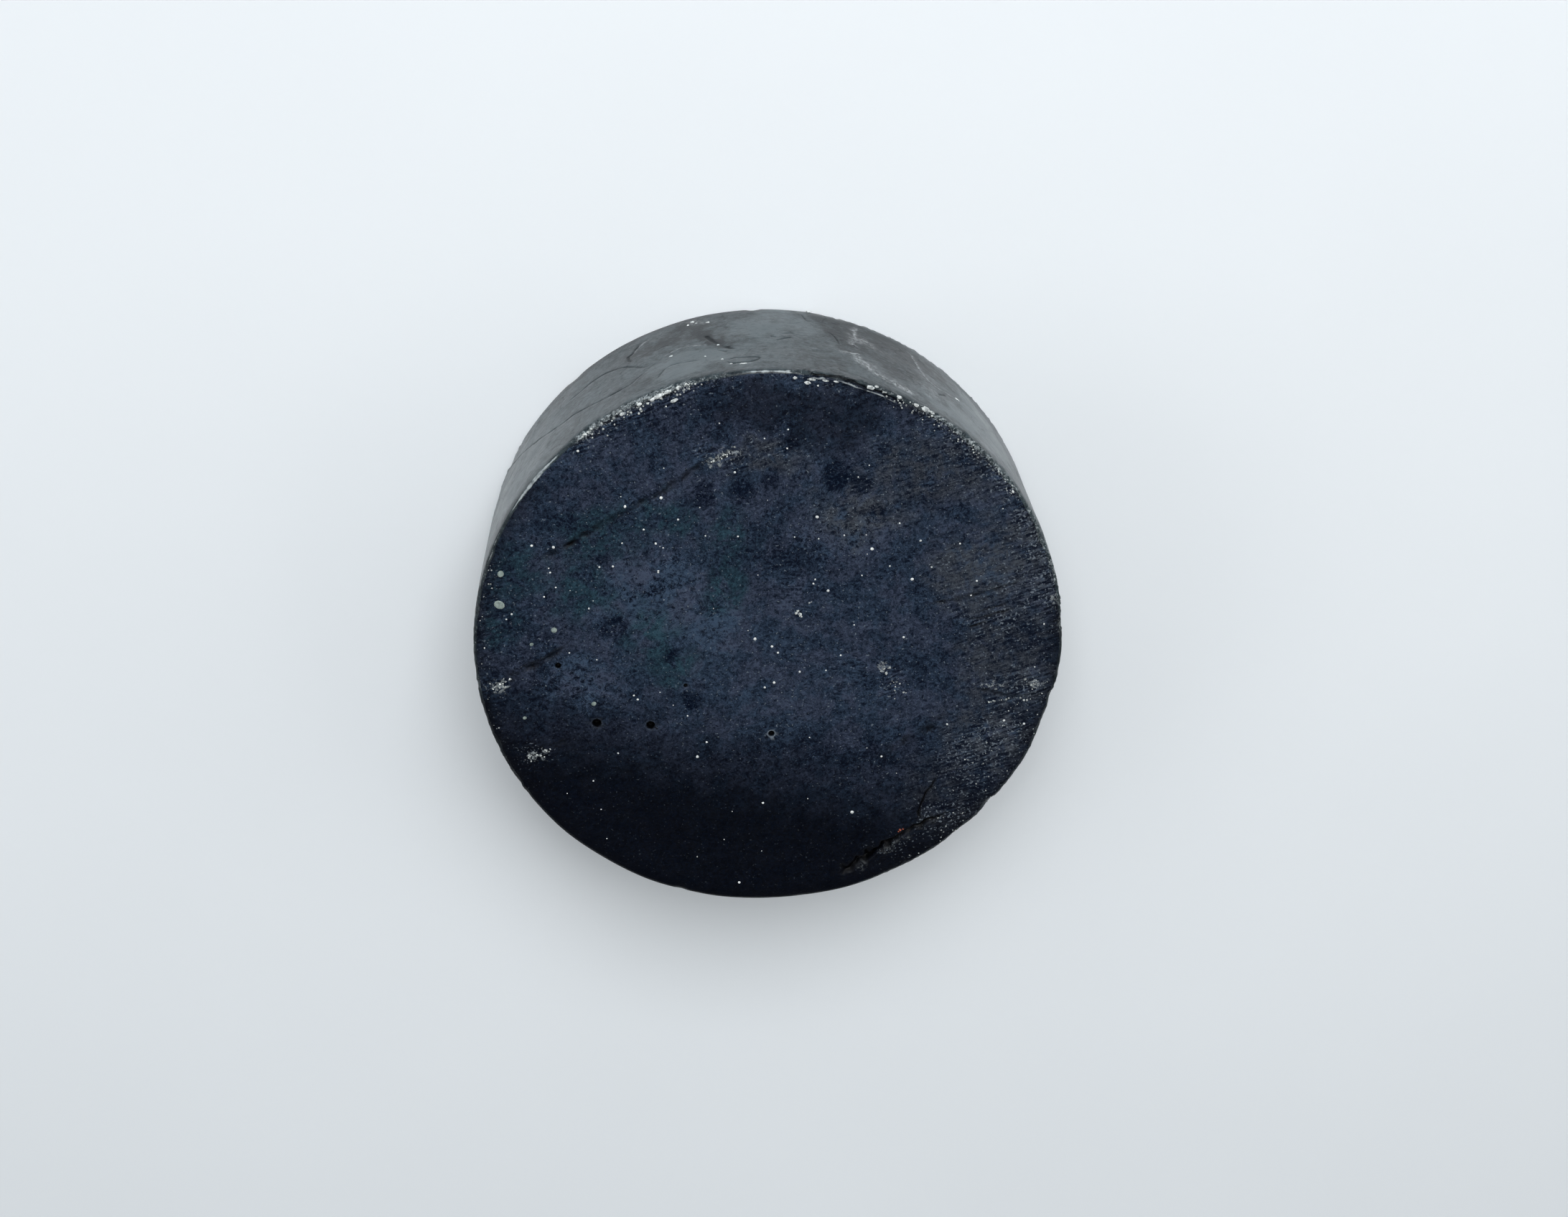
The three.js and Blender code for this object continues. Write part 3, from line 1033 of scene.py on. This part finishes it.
def face_look(soap):
    """Colour, roughness and height of a cut face."""
    cloud = soap.noise(5, 3, 0.6)
    mottle = soap.noise(1.9, 4, 0.65, distortion=0.5)
    felt = soap.noise(0.42, 4, 0.75, distortion=0.8)
    grain = soap.noise(0.34, 2, 0.6)
    drawn = soap.noise(0.3, 3, 0.6, place=soap.turned(KNIFE_ANGLE * 0.7, (0.16, 1.0, 1.0)))
    shaken = soap.noise(0.32, 2, 0.5, place=soap.turned(-0.05, (0.3, 1.0, 1.0)))
    bubbles = soap.cells(0.95, felt)
    strands = soap.math("ABSOLUTE", soap.add(soap.noise(1.2, 3, 0.65, distortion=1.4), -0.5))
    web = soap.rest(soap.step(strands, 0.0, 0.06))

    crumble = soap.mask("crumble")
    grey = soap.mask("grey")
    torn = soap.add(soap.times(grey, 0.3), soap.times(soap.mask("coarse"), 0.7))
    coarse = soap.math("ADD", crumble, torn, clamp=True)
    shade = soap.most(soap.mask("shade"), soap.times(soap.mask("navy"), 0.6))
    foam = soap.mask("foam")
    haze = soap.add(
        0.32,
        soap.around(cloud, 0.1),
        soap.around(mottle, 0.13),
        soap.around(felt, 0.5),
        soap.times(soap.scale_to(bubbles, 0.15, 0.6, -0.3, 0.3), soap.between(foam, 0.1, 1.0)),
        soap.times(web, soap.between(foam, 0.25, 0.8)),
        soap.times(soap.between(coarse, 0.1, 1.0), soap.around(drawn, 0.8)),
        soap.times(soap.mask("ripple"), soap.around(shaken, 0.3)),
        soap.times(soap.mask("stain"), -0.3),
        soap.times(crumble, -0.15),
        soap.mask("haze"),
    )
    # Painted shade thins the pale haze, so the face is painted darker towards -Y.
    haze = soap.times(soap.most(haze, 0.0), soap.between(shade, 1.0, 0.045))
    lit = soap.mix(soap.step(soap.add(cloud, soap.around(mottle, 0.06)), 0.42, 0.58), SLATE, PLUM)
    lit = soap.mix(soap.times(soap.mask("teal"), soap.step(mottle, 0.35, 0.55)), lit, TEAL)
    lit = soap.mix(soap.times(grey, soap.step(mottle, 0.3, 0.6)), lit, GREY)
    # Where shade is painted, the dark soap turns darker still, towards NIGHT.
    deep = soap.mix(shade, DEEP, soap.mix(soap.times(web, felt), NIGHT, DEEP))
    colour = soap.mix(haze, deep, lit)

    dusty = soap.between(coarse, 0.0, 0.1)
    flecks = soap.step(soap.add(soap.noise(0.3, 1, 0.5), dusty), 0.68, 0.78)
    # Fewer pale flecks in the smooth painted shade.
    smooth_dark = soap.times(shade, soap.rest(coarse))
    flecks = soap.times(flecks, soap.between(smooth_dark, 0.7, 0.15))
    colour = soap.mix(flecks, colour, FLECK)
    broken = soap.step(soap.noise(0.36, 2, 0.7), 0.44, 0.6)
    chalk = soap.times(soap.step(soap.add(soap.mask("chalk"), soap.around(felt, 0.35)), 0.3, 0.8), broken)
    ragged_edge = soap.add(soap.mask("edge"), soap.around(felt, 0.5))
    rim_chalk = soap.times(soap.step(ragged_edge, 0.5, 1.0), broken, 0.75)
    chalk_look = soap.most(soap.times(chalk, 0.5), soap.times(rim_chalk, 0.7))
    colour = soap.mix(soap.most(chalk_look, soap.times(soap.mask("ridge"), broken, 0.3)), colour, CHALK)
    # Painted shade in recesses: knife grooves, cracks, open bubbles, rim crevices and the gaps between crumbs
    # on the rim are painted near black.
    gaps = soap.times(soap.mask("edge"), soap.rest(broken), 0.8)
    dark = soap.most(soap.mask("groove"), gaps, soap.mask("pit"), soap.mask("crevice"))
    colour = soap.mix(dark, colour, (0.0004, 0.0005, 0.0009))
    colour = soap.mix(soap.times(soap.mask("pit_lip"), 0.8), colour, FLECK)

    roughness = soap.add(0.46, soap.around(mottle, 0.06), soap.times(soap.mask("stain"), -0.1))
    height = soap.add(
        soap.times(felt, 0.05),
        soap.times(grain, soap.between(coarse, 0.02, 0.10)),
        soap.times(drawn, soap.between(coarse, 0.01, 0.09)),
        soap.times(shaken, soap.times(soap.mask("ripple"), 0.06)),
        soap.times(mottle, 0.03),
        soap.times(bubbles, soap.times(soap.mask("foam"), 0.06)),
        soap.times(chalk, 0.05),
    )
    return colour, roughness, height


def wall_look(soap):
    """Colour, roughness, height and gloss of the moulded wall."""
    level = soap.vector("MULTIPLY", soap.place, (1.0, 1.0, 1.9))
    flow = soap.noise(11, 2, 0.5, place=level, distortion=0.6)
    cloud = soap.noise(5, 3, 0.6, distortion=0.4)
    fine = soap.noise(0.9, 4, 0.7)
    grain = soap.noise(0.3, 2, 0.6)
    # Where the flow noise crosses a level, one pour of soap met the next.
    meeting = soap.math("ABSOLUTE", soap.add(flow, -0.5, soap.around(fine, 0.008)))
    seam = soap.times(soap.rest(soap.step(meeting, 0.002, 0.01)), 0.35)
    lines = soap.most(seam, soap.step(soap.mask("setting"), 0.1, 0.7))
    drawn_round = soap.vector("MULTIPLY", soap.place, (0.5, 0.5, 1.4))
    rolled = soap.noise(0.5, 4, 0.65, place=drawn_round, distortion=0.5)
    film = soap.add(
        0.42,
        soap.around(cloud, 0.15),
        soap.around(fine, 0.26),
        soap.around(rolled, 0.22),
        soap.around(grain, 0.1),
        soap.times(soap.step(flow, 0.46, 0.54), 0.1),
        soap.mask("tone"),
    )
    film = soap.math("MULTIPLY", film, 1.0, clamp=True)
    colour = soap.mix(film, OLD_WALL, FILM)
    broken = soap.step(soap.noise(0.45, 4, 0.75), 0.38, 0.62)
    scuff = soap.times(soap.mask("scuff"), broken)
    colour = soap.mix(scuff, colour, SCUFF)
    dust = soap.step(grain, 0.68, 0.76)
    colour = soap.mix(soap.times(dust, 0.18), colour, CHALK)
    colour = soap.mix(soap.times(lines, 0.4), colour, (0.003, 0.004, 0.005))
    edge = soap.step(soap.add(soap.mask("edge"), soap.around(soap.noise(0.4, 2, 0.7), 0.4)), 0.5, 1.0)
    colour = soap.mix(soap.times(edge, broken, 0.7), colour, CHALK)
    # Painted shade: the crevice under the feather edge is painted near black.
    colour = soap.mix(soap.mask("crevice"), colour, (0.001, 0.001, 0.0015))
    gloss = soap.add(0.19, soap.times(film, 0.42), soap.times(lines, -0.08))
    roughness = soap.add(0.36, soap.around(cloud, 0.07), soap.times(scuff, 0.25), soap.times(lines, 0.2))
    height = soap.add(
        soap.times(fine, 0.03),
        soap.times(grain, 0.008),
        soap.times(lines, -0.03),
        soap.times(scuff, 0.06),
    )
    return colour, roughness, height, gloss


def charcoal_soap():
    """The puck's own material: matt, hazy cut faces and a smoother moulded wall. The rim is worn pale in some
    places
    and darker in others: darkened by rubbing in some, painted shade along the lower-left edge. The upper face
    is painted darker towards -Y as painted shade."""
    soap = Shader("charcoal_soap")
    edge = soap.noise(0.7, 3, 0.6)
    side = soap.step(soap.add(soap.mask("wall"), soap.around(edge, 0.25)), 0.35, 0.65)
    face, face_rough, face_height = face_look(soap)
    wall, wall_rough, wall_height, wall_gloss = wall_look(soap)
    colour = soap.mix(side, face, wall)
    # Darkened rim stretches are painted near black: painted shade along the lower-left edge, darkened by
    # rubbing elsewhere.
    rubbed_and_shaded_rim = soap.mask("rubbed_and_shaded_rim")
    colour = soap.mix(soap.times(rubbed_and_shaded_rim, 0.8), colour, NIGHT)
    worn = soap.step(soap.add(soap.mask("worn"), soap.around(edge, 0.18)), 0.4, 0.9)
    colour = soap.mix(soap.times(worn, 0.75), colour, CHALK)
    rough = soap.blend(side, face_rough, wall_rough)
    height = soap.blend(side, face_height, wall_height)
    dull = soap.most(soap.mask("edge"), rubbed_and_shaded_rim)
    gloss = soap.times(side, wall_gloss, soap.between(dull, 1.0, 0.2))
    return soap.finish(colour, rough, height, gloss, **{"Specular IOR Level": 0.1, "Coat Roughness": 0.34})


def chalky(name, dark, light, size):
    """Dry white soap: crumbs, specks and discs."""
    chalk = Shader(name)
    blotch = chalk.noise(size, 3, 0.6)
    fine = chalk.noise(size / 4, 2, 0.6)
    colour = chalk.mix(chalk.step(blotch, 0.35, 0.65), dark, light)
    return chalk.finish(colour, chalk.scale_to(fine, 0.3, 0.7, 0.5, 0.7), chalk.times(fine, 0.03))


# ---------------------------------------------------------------- stage


def floor():
    """A pale floor that runs past the horizon of every view. Far from the puck, where the lights don't reach,
    it glows a little, so that it meets the sky without a dark band."""
    pale = Shader("pale_floor")
    cloth = pale.noise(60, 3, 0.5)
    colour = pale.mix(cloth, (0.79, 0.82, 0.84), (0.83, 0.86, 0.88))
    away = pale.node("ShaderNodeVectorMath", {0: pale.place}, operation="LENGTH").outputs["Value"]
    glow = pale.times(pale.step(away, 160, 950), 0.42)
    look = {"Emission Color": (0.93, 0.97, 1.0, 1), "Emission Strength": glow}
    reach = 4
    corners = [(-reach, -reach, 0), (reach, -reach, 0), (reach, reach, 0), (-reach, reach, 0)]
    mesh = bpy.data.meshes.new("floor")
    mesh.from_pydata(corners, [], [(0, 1, 2, 3)])
    mesh.materials.append(pale.finish(colour, 0.9, **look))
    add_object("floor", mesh)


def sky():
    """Soft light from all round, brighter from the window on the +Y side."""
    world = bpy.data.worlds.new("studio")
    bpy.context.scene.world = world
    world.use_nodes = True
    tree = world.node_tree
    tree.nodes.clear()
    generated = add_node(tree, "ShaderNodeTexCoord").outputs["Generated"]
    direction = add_node(tree, "ShaderNodeSeparateXYZ", {0: generated}).outputs
    soft = {"interpolation_type": "SMOOTHSTEP"}
    window = {"Value": direction["Y"], "From Min": -0.25, "From Max": 0.8, "To Min": 0.06, "To Max": 0.8}
    above = add_node(tree, "ShaderNodeMapRange", window, **soft).outputs["Result"]
    upwards = {"Value": direction["Z"], "From Min": 0.1, "From Max": 0.6, "To Min": 0.72, "To Max": above}
    strength = add_node(tree, "ShaderNodeMapRange", upwards, **soft).outputs["Result"]
    background = {"Color": (0.93, 0.97, 1.0, 1), "Strength": strength}
    light = add_node(tree, "ShaderNodeBackground", background).outputs[0]
    add_node(tree, "ShaderNodeOutputWorld", {"Surface": light})


def area_light(name, place, size, power, colour):
    """A square soft light in metres, aimed at the puck."""
    light = bpy.data.lights.new(name, "AREA")
    light.size = size
    light.energy = power
    light.color = colour
    made = add_object(name, light)
    made.location = place
    made.rotation_euler = (-Vector(place)).to_track_quat("-Z", "Y").to_euler()
    made.visible_camera = False


# The photograph's camera, fitted to the outlines of both rims.
CAMERA_AIM = Vector((2.4, 0, THICKNESS / 2)) * MM
CAMERA_DISTANCE = 280 * MM
CAMERA_ELEVATION = math.radians(64.25)
CAMERA_TURN = math.radians(7.25)  # from +Y towards -X
CAMERA_ROLL = math.radians(173.45)  # the photograph has the +Y side at the top
CAMERA_LENS = 47.8


def camera():
    data = bpy.data.cameras.new("camera")
    data.lens = CAMERA_LENS
    data.sensor_width = 36
    data.clip_start = 0.01
    data.clip_end = 50
    made = add_object("camera", data)
    level = math.cos(CAMERA_ELEVATION)
    rise = math.sin(CAMERA_ELEVATION)
    back = Vector((-math.sin(CAMERA_TURN) * level, math.cos(CAMERA_TURN) * level, rise))
    made.location = CAMERA_AIM + back * CAMERA_DISTANCE
    made.rotation_mode = "QUATERNION"
    made.rotation_quaternion = (-back).to_track_quat("-Z", "Y") @ Quaternion((0, 0, 1), CAMERA_ROLL)
    bpy.context.scene.camera = made


# ---------------------------------------------------------------- the scene

camera()
floor()
sky()
area_light("window", (0.02, 0.4, 0.5), 0.4, 3.3, (0.96, 0.98, 1.0))
area_light("left_fill", (-0.8, 0.1, 0.5), 0.5, 1.0, (0.97, 0.98, 1.0))
area_light("right_fill", (0.8, 0.1, 0.5), 0.5, 0.9, (1.0, 0.99, 0.97))
bpy.context.scene.view_settings.view_transform = "Standard"

chalk = chalky("dry_soap", (0.13, 0.145, 0.145), (0.62, 0.65, 0.63), 0.45)
body = soap_body(charcoal_soap())
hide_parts("soap_puck")
pieces = [
    body,
    crumbs(chalk),
    flakes(chalky("soap_flake", (0.25, 0.27, 0.27), (0.7, 0.73, 0.72), 0.4)),
    white_specks(chalky("unmixed_soap", (0.55, 0.58, 0.58), (0.8, 0.82, 0.8), 0.3)),
    pale_discs(chalky("pale_soap", (0.14, 0.18, 0.165), (0.26, 0.31, 0.28), 0.4)),
    orange_fleck(chalky("orange_clay", (0.18, 0.035, 0.015), (0.36, 0.09, 0.04), 0.3)),
]
for piece in pieces:
    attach(piece, "root")
